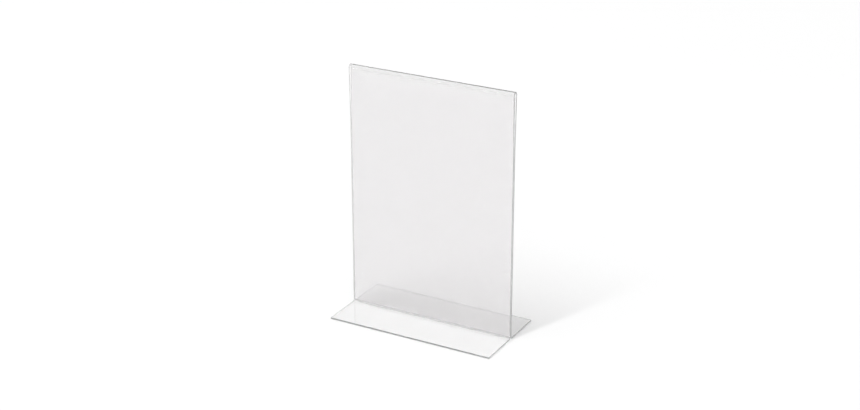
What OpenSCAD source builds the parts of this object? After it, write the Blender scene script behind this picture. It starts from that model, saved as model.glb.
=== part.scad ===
// Double-sided, free-standing sign stand: one clear acrylic sheet bent into an upside-down T,
// and the blank translucent insert that slides in its pocket, in or out of either open side.
// Frame: X along the stand's width, Y from the front foot to the rear foot, Z up.
// The origin is on the table, below the middle of the pocket.

/* [Stand] */
// Width of the bent sheet
stand_width = 212; // [210.4:0.2:230]
// Height from the table to the top of the fold
stand_height = 303; // [302:0.5:320]
// Depth over both feet
stand_depth = 110; // [80:1:140]
// Thickness of the acrylic sheet
sheet_thickness = 2; // [1.5:0.1:3]

/* [Bends] */
// Inside radius where each leaf turns out into its foot
foot_bend_radius = 2; // [1:0.1:4]
// Inside radius of the fold that joins the two leaves at the top
fold_radius = 1.8; // [1:0.1:3]
// Height of the stretch below the fold over which the leaves close up
taper_height = 64; // [40:1:120]

/* [Pocket] */
// Gap between the leaves where they run parallel
pocket_gap = 0.6; // [0.4:0.1:1.2]

/* [Insert] */
// Width of the insert
insert_width = 210; // [200:0.5:210]
// Height of the insert
insert_height = 297; // [280:0.5:297]
// Thickness of the insert
insert_thickness = 0.25; // [0.15:0.01:0.3]
// Height of the insert's lower edge above the table
insert_lift = 0.5; // [0.2:0.1:1]

/* [Hidden] */

$fn = 96;

acrylic_color = [0.90, 0.94, 0.95, 0.35];
insert_color = [0.92, 0.92, 0.92, 0.80];

// Distance of a leaf's inner face from the middle of the pocket, where the leaves run parallel.
leaf_inner = pocket_gap / 2;

// Height of the fold's axis, and of the knee where each leaf begins to lean out towards the fold.
fold_axis_z = stand_height - fold_radius - sheet_thickness;
knee_z = fold_axis_z - taper_height;

// The axis of the bend between a leaf and its foot.
foot_bend_y = leaf_inner + sheet_thickness + foot_bend_radius;
foot_bend_z = sheet_thickness + foot_bend_radius;

// Each module with section in its name draws part of the sheet's section in the Y-Z plane.

// The sheet bent right round the origin.
module ring_section(inside_radius) {
    difference() {
        circle(inside_radius + sheet_thickness);
        circle(inside_radius);
    }
}

// The rear foot, flat on the table.
module foot_section() {
    translate([foot_bend_y, 0])
        square([stand_depth / 2 - foot_bend_y, sheet_thickness]);
}

// The quarter turn between the rear foot and the rear leaf.
module foot_bend_section() {
    quarter = 2 * foot_bend_z;
    translate([foot_bend_y, foot_bend_z])
        intersection() {
            ring_section(foot_bend_radius);
            translate([-quarter, -quarter])
                square(quarter);
        }
}

// The rear leaf: upright from its foot's bend to the knee, then leaning out to the fold.
module leaf_section() {
    polygon([
        [leaf_inner, foot_bend_z],
        [leaf_inner + sheet_thickness, foot_bend_z],
        [leaf_inner + sheet_thickness, knee_z],
        [fold_radius + sheet_thickness, fold_axis_z],
        [fold_radius, fold_axis_z],
        [leaf_inner, knee_z],
    ]);
}

// The half turn that joins the two leaves.
module fold_section() {
    half = 2 * (fold_radius + sheet_thickness);
    translate([0, fold_axis_z])
        intersection() {
            ring_section(fold_radius);
            translate([-half, 0])
                square([2 * half, half]);
        }
}

// Everything behind the middle of the pocket, up to the fold.
module rear_half_section() {
    foot_section();
    foot_bend_section();
    leaf_section();
}

// The stand: one sheet, folded back on itself at the top and turned out into two feet.
module holder_sheet() {
    color(acrylic_color)
        rotate([90, 0, 90])
            linear_extrude(height = stand_width, center = true) {
                rear_half_section();
                mirror([1, 0])
                    rear_half_section();
                fold_section();
            }
}

// The blank insert, upright in the middle of the pocket.
module insert_sheet() {
    color(insert_color)
        translate([-insert_width / 2, -insert_thickness / 2, insert_lift])
            cube([insert_width, insert_thickness, insert_height]);
}

holder_sheet();
insert_sheet();
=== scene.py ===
"""Looks of the sign stand: a clear acrylic sheet bent into an upside-down T, and the blank
translucent insert between its leaves, on a white studio floor. Everything is in metres."""

import math

import bmesh
import bpy
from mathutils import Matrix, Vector

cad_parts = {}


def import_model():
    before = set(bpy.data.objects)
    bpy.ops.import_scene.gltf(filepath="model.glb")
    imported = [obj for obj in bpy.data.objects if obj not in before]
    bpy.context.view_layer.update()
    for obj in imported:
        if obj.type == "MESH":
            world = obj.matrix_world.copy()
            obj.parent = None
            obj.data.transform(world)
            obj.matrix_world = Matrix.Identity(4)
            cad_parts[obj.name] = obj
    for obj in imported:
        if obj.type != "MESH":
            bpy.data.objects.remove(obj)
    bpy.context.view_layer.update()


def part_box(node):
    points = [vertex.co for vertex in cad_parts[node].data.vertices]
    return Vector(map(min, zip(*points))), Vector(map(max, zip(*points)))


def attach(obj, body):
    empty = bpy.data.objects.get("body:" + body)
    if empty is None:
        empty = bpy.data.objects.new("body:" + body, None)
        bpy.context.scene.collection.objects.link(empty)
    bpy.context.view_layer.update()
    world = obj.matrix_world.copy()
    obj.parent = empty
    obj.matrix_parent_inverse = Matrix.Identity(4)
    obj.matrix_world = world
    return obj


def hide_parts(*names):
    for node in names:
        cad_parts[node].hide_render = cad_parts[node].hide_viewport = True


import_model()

MM = 0.001

# ---------------------------------------------------------------------------
# Sizes. The outer ones come from the parts in model.glb, the others are the design's own.
# ---------------------------------------------------------------------------

stand_low, stand_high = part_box("holder_sheet")
insert_low, insert_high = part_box("insert_sheet")

STAND_WIDTH = stand_high.x - stand_low.x
STAND_DEPTH = stand_high.y - stand_low.y
STAND_HEIGHT = stand_high.z
SHEET = 2.0 * MM  # thickness of the acrylic
POCKET_GAP = 0.6 * MM  # between the leaves where they run parallel
FOOT_BEND = 2.0 * MM  # inside radius of the bend at each foot
FOLD = 1.8 * MM  # inside radius of the fold at the top
TAPER_HEIGHT = 64 * MM  # stretch below the fold over which the leaves close up
KNEE_RADIUS = 300 * MM  # the soft bend at the lower end of the taper

INSERT_WIDTH = insert_high.x - insert_low.x
INSERT_THICKNESS = insert_high.y - insert_low.y
INSERT_BOW = 0.7 * MM  # how far the insert's free top leans towards the rear leaf

ARRIS = 0.2 * MM  # rounding of the acrylic's polished cut edges
FILM_ARRIS = 0.05 * MM  # rounding of the insert's cut edges
FLARE = 0.12 * MM  # how far the ends of a tight bend swell out on its inside


# ---------------------------------------------------------------------------
# Meshes. Each sheet is swept along a path in the Y-Z plane.
# ---------------------------------------------------------------------------


class Path:
    """A line in the Y-Z plane, drawn by walking. A station is (y, z, heading, swell): heading is
    an angle from +Y towards +Z, and swell runs from 0 to 1 and back over a tight left turn, or
    to -1 and back over a right turn."""

    def __init__(self, y, z, heading):
        self.y, self.z, self.heading = y, z, heading
        self.stations = [(y, z, heading, 0.0)]

    def straight(self, length, steps):
        y, z = self.y, self.z
        for i in range(1, steps + 1):
            self.y = y + length * i / steps * math.cos(self.heading)
            self.z = z + length * i / steps * math.sin(self.heading)
            self.stations.append((self.y, self.z, self.heading, 0.0))

    def bend(self, radius, angle, steps, tight=True):
        """Turns left by angle, or right if it is negative, on an arc of that radius."""
        side = math.copysign(1.0, angle)
        centre_y = self.y - side * radius * math.sin(self.heading)
        centre_z = self.z + side * radius * math.cos(self.heading)
        start = self.heading
        for i in range(1, steps + 1):
            self.heading = start + angle * i / steps
            self.y = centre_y + side * radius * math.sin(self.heading)
            self.z = centre_z - side * radius * math.cos(self.heading)
            swell = side * math.sin(math.pi * i / steps) if tight else 0.0
            self.stations.append((self.y, self.z, self.heading, swell))


def holder_path():
    """The middle line of the acrylic, from the end of the front foot to the end of the rear foot."""
    leaf_y = (POCKET_GAP + SHEET) / 2
    fold_mid = FOLD + SHEET / 2
    bend_mid = FOOT_BEND + SHEET / 2
    lean = math.atan((FOLD - POCKET_GAP / 2) / TAPER_HEIGHT)
    knee_shift = KNEE_RADIUS * (1 - math.cos(lean))
    taper = (fold_mid * math.cos(lean) - leaf_y - knee_shift) / math.sin(lean)
    fold_low = STAND_HEIGHT - SHEET / 2 - fold_mid * (1 + math.sin(lean))
    knee_low = fold_low - taper * math.cos(lean) - KNEE_RADIUS * math.sin(lean)
    upright = knee_low - SHEET / 2 - bend_mid
    foot = STAND_DEPTH / 2 - leaf_y - bend_mid

    path = Path(-STAND_DEPTH / 2, SHEET / 2, 0.0)
    path.straight(foot, 8)
    path.bend(bend_mid, math.pi / 2, 20)
    path.straight(upright, 20)
    path.bend(KNEE_RADIUS, lean, 4, tight=False)
    path.straight(taper, 8)
    path.bend(fold_mid, -math.pi - 2 * lean, 48)
    path.straight(taper, 8)
    path.bend(KNEE_RADIUS, lean, 4, tight=False)
    path.straight(upright, 20)
    path.bend(bend_mid, math.pi / 2, 20)
    path.straight(foot, 8)
    return path.stations


def insert_path():
    """The insert's middle line, upwards. It is flat between the leaves, and its top leans back a
    little where the pocket opens out below the fold."""
    steps = 60
    height = insert_high.z - insert_low.z
    stations = []
    for i in range(steps + 1):
        z = height * i / steps
        t = max(0.0, (z - height + TAPER_HEIGHT) / TAPER_HEIGHT)
        y = INSERT_BOW * t * t * (3 - 2 * t)
        slope = INSERT_BOW * 6 * t * (1 - t) / TAPER_HEIGHT
        stations.append((y, insert_low.z + z, math.pi / 2 - math.atan(slope), 0.0))
    return stations


def cross_section(width, thickness, arris, flats, turns):
    """A sheet's cross-section as (x, n, on_rim) points: x across the sheet, n through it. The
    rim is rounded by arris, and the flat faces' own points start three arrises in from it."""
    half_x, half_n = width / 2, thickness / 2
    flat = half_x - 3 * arris
    top = [(flat * (2 * i / flats - 1), half_n, False) for i in range(flats + 1)]
    corner = []
    for i in range(turns + 1):
        a = math.pi / 2 * (1 - i / turns)
        x = half_x - arris + arris * math.cos(a)
        n = half_n - arris + arris * math.sin(a)
        corner.append((x, n, True))
    right = corner + [(x, -n, on_rim) for x, n, on_rim in reversed(corner)]
    bottom = [(-x, -n, on_rim) for x, n, on_rim in top]
    left = [(-x, -n, on_rim) for x, n, on_rim in right]
    return top + right + bottom + left


def swept_sheet(name, stations, width, thickness, arris, flats=12, turns=4):
    """A sheet of even thickness along a path, with all its cut edges rounded by arris. The vertex
    attribute cut_edge is 1 on those edges and 0 on the faces, and edge_run is the distance along
    the nearest cut edge."""
    section = cross_section(width, thickness, arris, flats, turns)

    # Each ring is a station, how far it is moved on along the path, how far its section is
    # drawn in, and whether it belongs to a cut end.
    quarter = [math.pi / 2 * i / turns for i in range(turns + 1)]
    rounding = [(arris * (1 - math.sin(a)), arris * (1 - math.cos(a))) for a in quarter]
    rings = [(stations[0], back, inset, True) for back, inset in reversed(rounding)]
    rings.append((stations[0], 3 * arris, 0.0, False))
    rings += [(station, 0.0, 0.0, False) for station in stations[1:-1]]
    rings.append((stations[-1], -3 * arris, 0.0, False))
    rings += [(stations[-1], -back, inset, True) for back, inset in rounding]

    bm = bmesh.new()
    cut_edge = bm.verts.layers.float.new("cut_edge")
    edge_run = bm.verts.layers.float.new("edge_run")
    loops = []
    walked = 0.0
    last = None
    for (y, z, heading, swell), shift, inset, at_end in rings:
        along = Vector((0, math.cos(heading), math.sin(heading)))
        normal = Vector((0, -math.sin(heading), math.cos(heading)))
        middle = Vector((0, y, z)) + along * shift
        walked += (middle - last).length if last is not None else 0.0
        last = middle
        loop = []
        for x, n, on_rim in section:
            widened = 2 * FLARE * swell * n / thickness - inset if on_rim else 0.0
            place = middle + Vector((x + math.copysign(1.0, x) * widened, 0, 0))
            vert = bm.verts.new(place + normal * (n - math.copysign(inset, n)))
            vert[cut_edge] = 1.0 if on_rim or at_end else 0.0
            vert[edge_run] = x if at_end else walked
            loop.append(vert)
        loops.append(loop)
    for one, other in zip(loops, loops[1:]):
        for i in range(len(section)):
            j = (i + 1) % len(section)
            bm.faces.new((one[i], one[j], other[j], other[i]))
    bm.faces.new(loops[0])
    bm.faces.new(loops[-1])
    bmesh.ops.recalc_face_normals(bm, faces=bm.faces)
    for face in bm.faces:
        face.smooth = True
    mesh = bpy.data.meshes.new(name)
    bm.to_mesh(mesh)
    bm.free()

    piece = bpy.data.objects.new(name, mesh)
    bpy.context.scene.collection.objects.link(piece)
    weighted = piece.modifiers.new("weighted_normals", "WEIGHTED_NORMAL")
    weighted.weight = 100
    return piece


# ---------------------------------------------------------------------------
# Materials.
# ---------------------------------------------------------------------------

NOISE_LOW, NOISE_HIGH = 0.3, 0.7  # most of a noise's values lie between these

ACRYLIC_IOR = 1.49
ACRYLIC_TINT = (0.905, 0.905, 0.905)
ACRYLIC_ABSORPTION = (0.80, 0.81, 0.81, 1.0)
ACRYLIC_DENSITY = 6.0  # of the absorption, per metre
RUB_ROUGHNESS = 0.03
HAIRLINE_ROUGHNESS = 0.08
# Painted shade: cut edges are coloured this grey to stand in for the dark lines they show in light.
EDGE_PAINTED_SHADE = (0.6, 0.6, 0.6)
EDGE_CLEAR = 0.85  # how much of the light a cut edge lets through, before its tint
EDGE_ROUGHNESS = (0.05, 0.14)
CUTTER_MARK_DEPTH = 0.004 * MM

FILM_IOR = 1.5
FILM_CLEAR = 0.78  # how much of the light each face lets through unscattered
FILM_TINTS = (0.930, 0.918, 0.924), (0.970, 0.958, 0.964)
FILM_PASSED = (0.50, 0.50, 0.50), (0.54, 0.54, 0.54)  # of a lamp's light, at each face
FILM_ROUGHNESS = (0.06, 0.10)
FILM_WAVE_DEPTH = 0.08 * MM
FILM_MOTTLE_DEPTH = 0.002 * MM


class Nodes:
    """A node tree, emptied, with short calls to add to it."""

    def __init__(self, tree):
        self.tree = tree
        self.tree.nodes.clear()

    def add(self, kind, **settings):
        node = self.tree.nodes.new(kind)
        for key, value in settings.items():
            if hasattr(node, key):
                setattr(node, key, value)
            else:
                node.inputs[key.replace("_", " ")].default_value = value
        return node

    def link(self, source, target):
        self.tree.links.new(source, target)

    def noise(self, place, scale, detail=2.0, roughness=0.5):
        node = self.add("ShaderNodeTexNoise", Scale=scale, Detail=detail, Roughness=roughness)
        self.link(place, node.inputs["Vector"])
        return node.outputs["Fac"]

    def spread(self, value, from_low, from_high, to_low, to_high):
        node = self.add("ShaderNodeMapRange")
        self.link(value, node.inputs["Value"])
        node.inputs["From Min"].default_value = from_low
        node.inputs["From Max"].default_value = from_high
        node.inputs["To Min"].default_value = to_low
        node.inputs["To Max"].default_value = to_high
        return node.outputs["Result"]

    def maths(self, operation, first, second):
        node = self.add("ShaderNodeMath", operation=operation)
        for socket, value in zip(node.inputs, (first, second)):
            if isinstance(value, (int, float)):
                socket.default_value = value
            else:
                self.link(value, socket)
        return node.outputs["Value"]

    def stretched(self, place, scale):
        node = self.add("ShaderNodeMapping", Scale=scale)
        self.link(place, node.inputs["Vector"])
        return node.outputs["Vector"]

    def two_colours(self, share, first, second):
        node = self.add("ShaderNodeMix", data_type="RGBA")
        factor = [socket for socket in node.inputs if socket.name == "Factor"][0]
        colours = [socket for socket in node.inputs if socket.type == "RGBA"]
        colours[0].default_value = (*first, 1.0)
        colours[1].default_value = (*second, 1.0)
        self.link(share, factor)
        return [socket for socket in node.outputs if socket.type == "RGBA"][0]


class MaterialNodes(Nodes):
    """A material's node tree, with its shader already joined to its output."""

    def __init__(self, name):
        self.material = bpy.data.materials.new(name)
        self.material.use_nodes = True
        super().__init__(self.material.node_tree)
        self.output = self.add("ShaderNodeOutputMaterial")
        self.shader = self.add("ShaderNodeBsdfPrincipled")
        self.link(self.shader.outputs["BSDF"], self.output.inputs["Surface"])

    def relief(self, heights):
        """Bump from (height socket, metres from its lowest to its highest) pairs."""
        under = None
        for height, depth in heights:
            bump = self.add("ShaderNodeBump", Strength=1.0, Distance=depth)
            self.link(height, bump.inputs["Height"])
            if under is not None:
                self.link(under, bump.inputs["Normal"])
            under = bump.outputs["Normal"]
        self.link(under, self.shader.inputs["Normal"])

    def lets_lamps_through(self, passed):
        """Lamps shine straight through, times passed at each face."""
        ray = self.add("ShaderNodeLightPath")
        clear = self.add("ShaderNodeBsdfTransparent")
        self.link(passed, clear.inputs["Color"])
        either = self.add("ShaderNodeMixShader")
        self.link(ray.outputs["Is Shadow Ray"], either.inputs["Fac"])
        self.link(self.shader.outputs["BSDF"], either.inputs[1])
        self.link(clear.outputs["BSDF"], either.inputs[2])
        self.link(either.outputs["Shader"], self.output.inputs["Surface"])


def acrylic():
    """Clear cast acrylic. Its faces are glossy, with faint wiping rubs and a few hairlines. Its
    cut edges are duller, with the cutter's fine marks across them; their grey is painted shade
    for the dark lines that cut edges show in light."""
    n = MaterialNodes("clear_acrylic")
    place = n.add("ShaderNodeTexCoord").outputs["Object"]
    edge = n.add("ShaderNodeAttribute", attribute_name="cut_edge").outputs["Fac"]
    run = n.add("ShaderNodeAttribute", attribute_name="edge_run").outputs["Fac"]

    # Along a cut edge: cutter marks about 0.6 mm apart, and slow changes over some 20 mm.
    along = n.add("ShaderNodeCombineXYZ")
    n.link(run, along.inputs["X"])
    marks = n.noise(along.outputs["Vector"], scale=1600.0)
    slow = n.noise(along.outputs["Vector"], scale=50.0, detail=1.0)

    # On the faces: soft cloudy rubs, and hairlines that run mostly sideways or mostly upwards.
    rubs = n.noise(place, scale=60.0, detail=6.0, roughness=0.7)
    sideways = n.noise(n.stretched(place, (12.0, 2500.0, 2500.0)), scale=1.0, detail=1.0)
    upwards = n.noise(n.stretched(place, (2500.0, 2500.0, 12.0)), scale=1.0, detail=1.0)
    hairlines = n.maths("MAXIMUM", sideways, upwards)

    # Painted shade: the cut edges get the grey, a little stronger or weaker slowly along them.
    painted_edge_shade = n.maths("MULTIPLY", edge, n.spread(slow, NOISE_LOW, NOISE_HIGH, 0.9, 1.0))
    tint = n.two_colours(painted_edge_shade, ACRYLIC_TINT, EDGE_PAINTED_SHADE)
    n.link(tint, n.shader.inputs["Base Color"])
    n.link(n.spread(edge, 0.0, 1.0, 1.0, EDGE_CLEAR), n.shader.inputs["Transmission Weight"])

    # Only the highest parts of the noises show, as rubs and as hairlines.
    rubbed = n.spread(rubs, 0.5, 0.8, 0.0, RUB_ROUGHNESS)
    scratched = n.spread(hairlines, 0.70, 0.78, 0.0, HAIRLINE_ROUGHNESS)
    face_rough = n.maths("ADD", rubbed, scratched)
    cut = n.spread(marks, NOISE_LOW, NOISE_HIGH, *EDGE_ROUGHNESS)
    edge_rough = n.maths("MULTIPLY", edge, cut)
    n.link(n.maths("ADD", face_rough, edge_rough), n.shader.inputs["Roughness"])

    n.relief([(n.maths("MULTIPLY", edge, marks), CUTTER_MARK_DEPTH)])
    n.shader.inputs["IOR"].default_value = ACRYLIC_IOR

    # A lamp's light loses the gloss of both faces where it enters, and nothing where it leaves.
    gloss = n.add("ShaderNodeFresnel", IOR=ACRYLIC_IOR).outputs["Fac"]
    leaving = n.add("ShaderNodeNewGeometry").outputs["Backfacing"]
    lost = n.maths("MULTIPLY", gloss, n.spread(leaving, 0.0, 1.0, 1.0, 0.0))
    n.lets_lamps_through(n.maths("POWER", n.spread(lost, 0.0, 1.0, 1.0, 0.0), 2.0))

    volume = n.add("ShaderNodeVolumeAbsorption")
    volume.inputs["Color"].default_value = ACRYLIC_ABSORPTION
    volume.inputs["Density"].default_value = ACRYLIC_DENSITY
    n.link(volume.outputs["Volume"], n.output.inputs["Volume"])
    return n.material


def film():
    """The blank insert: pale frosted film with a fine mottle, not quite flat."""
    n = MaterialNodes("insert_film")
    place = n.add("ShaderNodeTexCoord").outputs["Object"]
    mottle = n.noise(place, scale=700.0, detail=4.0, roughness=0.6)
    grade = n.spread(mottle, NOISE_LOW, NOISE_HIGH, 0.0, 1.0)

    n.link(n.two_colours(grade, *FILM_TINTS), n.shader.inputs["Base Color"])
    rough = n.spread(mottle, NOISE_LOW, NOISE_HIGH, *FILM_ROUGHNESS)
    n.link(rough, n.shader.inputs["Roughness"])
    n.shader.inputs["Transmission Weight"].default_value = FILM_CLEAR
    n.shader.inputs["IOR"].default_value = FILM_IOR

    waves = n.noise(place, scale=18.0, detail=1.0)
    n.relief([(waves, FILM_WAVE_DEPTH), (mottle, FILM_MOTTLE_DEPTH)])

    n.lets_lamps_through(n.two_colours(grade, *FILM_PASSED))
    return n.material


def plain(name, colour, roughness):
    n = MaterialNodes(name)
    n.shader.inputs["Base Color"].default_value = (*colour, 1.0)
    n.shader.inputs["Roughness"].default_value = roughness
    return n.material


# ---------------------------------------------------------------------------
# The two pieces.
# ---------------------------------------------------------------------------

holder = swept_sheet(
    "bent_acrylic_sheet", holder_path(), STAND_WIDTH - 2 * FLARE, SHEET, ARRIS
)
holder.data.materials.append(acrylic())
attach(holder, "stand")
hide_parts("holder_sheet")

insert = swept_sheet(
    "blank_insert_film", insert_path(), INSERT_WIDTH, INSERT_THICKNESS, FILM_ARRIS
)
insert.data.materials.append(film())
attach(insert, "insert")
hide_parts("insert_sheet")


# ---------------------------------------------------------------------------
# Studio: floor, light and camera.
# ---------------------------------------------------------------------------

BRIGHT_SIDE = -25.0  # azimuth of the studio's brighter side, in degrees
BRIGHT_GLOW = 1.35  # brightness of that side, at its most
DIM_GLOW = 0.75  # brightness of the opposite side, at its least
EVEN_BELOW, FULL_ABOVE = 0.1, 0.3  # heights in the sky between which the two sides part

KEY_AZIMUTH = -19.0
KEY_ELEVATION = 66.0
KEY_DISTANCE = 15.0
KEY_WIDTH = 0.9
KEY_LENGTH = 10.0
KEY_WATTS = 800.0

FLOOR_RADIUS = 3.5
FLOOR_DROP = 0.2 * MM  # below the feet, so that no two surfaces coincide
FLOOR_COLOUR = (0.75, 0.75, 0.75)
FLOOR_ROUGHNESS = 0.9

CAMERA_LENS = 68.9
CAMERA_AZIMUTH = 29.0
CAMERA_ELEVATION = 22.5
CAMERA_DISTANCE = 1.96
CAMERA_RAISE = 0.137  # of the point it looks at above the origin, square to the line of sight
CAMERA_ASIDE = 0.001  # of that point to the left

BOUNCES = 160  # light is caught for long in the clear sheet
SEE_THROUGH_BOUNCES = 64


def floor():
    bm = bmesh.new()
    bmesh.ops.create_circle(bm, cap_ends=True, segments=96, radius=FLOOR_RADIUS)
    mesh = bpy.data.meshes.new("studio_floor")
    bm.to_mesh(mesh)
    bm.free()
    piece = bpy.data.objects.new("studio_floor", mesh)
    bpy.context.scene.collection.objects.link(piece)
    piece.location.z = -FLOOR_DROP
    piece.data.materials.append(plain("studio_floor", FLOOR_COLOUR, FLOOR_ROUGHNESS))


def aim(thing, place, target):
    thing.location = place
    thing.rotation_euler = (Vector(target) - Vector(place)).to_track_quat("-Z", "Y").to_euler()


def direction(azimuth, elevation):
    """The unit vector at that azimuth and elevation, in degrees. Azimuth 0 is straight in front
    of the stand, and 90 is on its right."""
    a, e = math.radians(azimuth), math.radians(elevation)
    return Vector((math.sin(a) * math.cos(e), -math.cos(a) * math.cos(e), math.sin(e)))


def soft_box(name, place, width, length, watts):
    """A rectangular lamp at that place, facing the foot of the stand."""
    lamp = bpy.data.lights.new(name, "AREA")
    lamp.shape = "RECTANGLE"
    lamp.size = width
    lamp.size_y = length
    lamp.energy = watts
    thing = bpy.data.objects.new(name, lamp)
    bpy.context.scene.collection.objects.link(thing)
    aim(thing, place, (0, 0, 0))


def world():
    """A pale studio, even round the horizon. Higher up it is brighter in front on the left than
    behind on the right."""
    studio = bpy.data.worlds.new("studio")
    studio.use_nodes = True
    n = Nodes(studio.node_tree)
    place = n.add("ShaderNodeTexCoord").outputs["Generated"]
    side = n.add("ShaderNodeVectorMath", operation="DOT_PRODUCT")
    side.inputs[1].default_value = direction(BRIGHT_SIDE, 0.0)
    n.link(place, side.inputs[0])
    height = n.add("ShaderNodeSeparateXYZ")
    n.link(place, height.inputs["Vector"])
    lift = n.spread(height.outputs["Z"], EVEN_BELOW, FULL_ABOVE, 0.0, 1.0)
    lean = n.maths("MULTIPLY", side.outputs["Value"], lift)
    background = n.add("ShaderNodeBackground", Color=(1.0, 1.0, 1.0, 1.0))
    n.link(n.spread(lean, -1.0, 1.0, DIM_GLOW, BRIGHT_GLOW), background.inputs["Strength"])
    output = n.add("ShaderNodeOutputWorld")
    n.link(background.outputs["Background"], output.inputs["Surface"])
    bpy.context.scene.world = studio


def camera():
    data = bpy.data.cameras.new("camera")
    data.sensor_width = 36.0
    data.lens = CAMERA_LENS
    data.clip_start = 0.01
    data.clip_end = 100.0
    thing = bpy.data.objects.new("camera", data)
    bpy.context.scene.collection.objects.link(thing)
    back = direction(CAMERA_AZIMUTH, CAMERA_ELEVATION)
    right = Vector((0, 0, 1)).cross(back).normalized()
    target = back.cross(right) * CAMERA_RAISE - right * CAMERA_ASIDE
    aim(thing, target + back * CAMERA_DISTANCE, target)
    bpy.context.scene.camera = thing


def rendering():
    """Colours as they are, and enough bounces for light to find its way out of the acrylic."""
    scene = bpy.context.scene
    scene.view_settings.view_transform = "Standard"
    # Softened reflections would darken all that is lit through the acrylic.
    scene.cycles.blur_glossy = 0.0
    scene.cycles.max_bounces = BOUNCES
    scene.cycles.glossy_bounces = BOUNCES
    scene.cycles.transmission_bounces = BOUNCES
    scene.cycles.transparent_max_bounces = SEE_THROUGH_BOUNCES


floor()
key_place = direction(KEY_AZIMUTH, KEY_ELEVATION) * KEY_DISTANCE
soft_box("key_strip", key_place, KEY_WIDTH, KEY_LENGTH, KEY_WATTS)
world()
camera()
rendering()
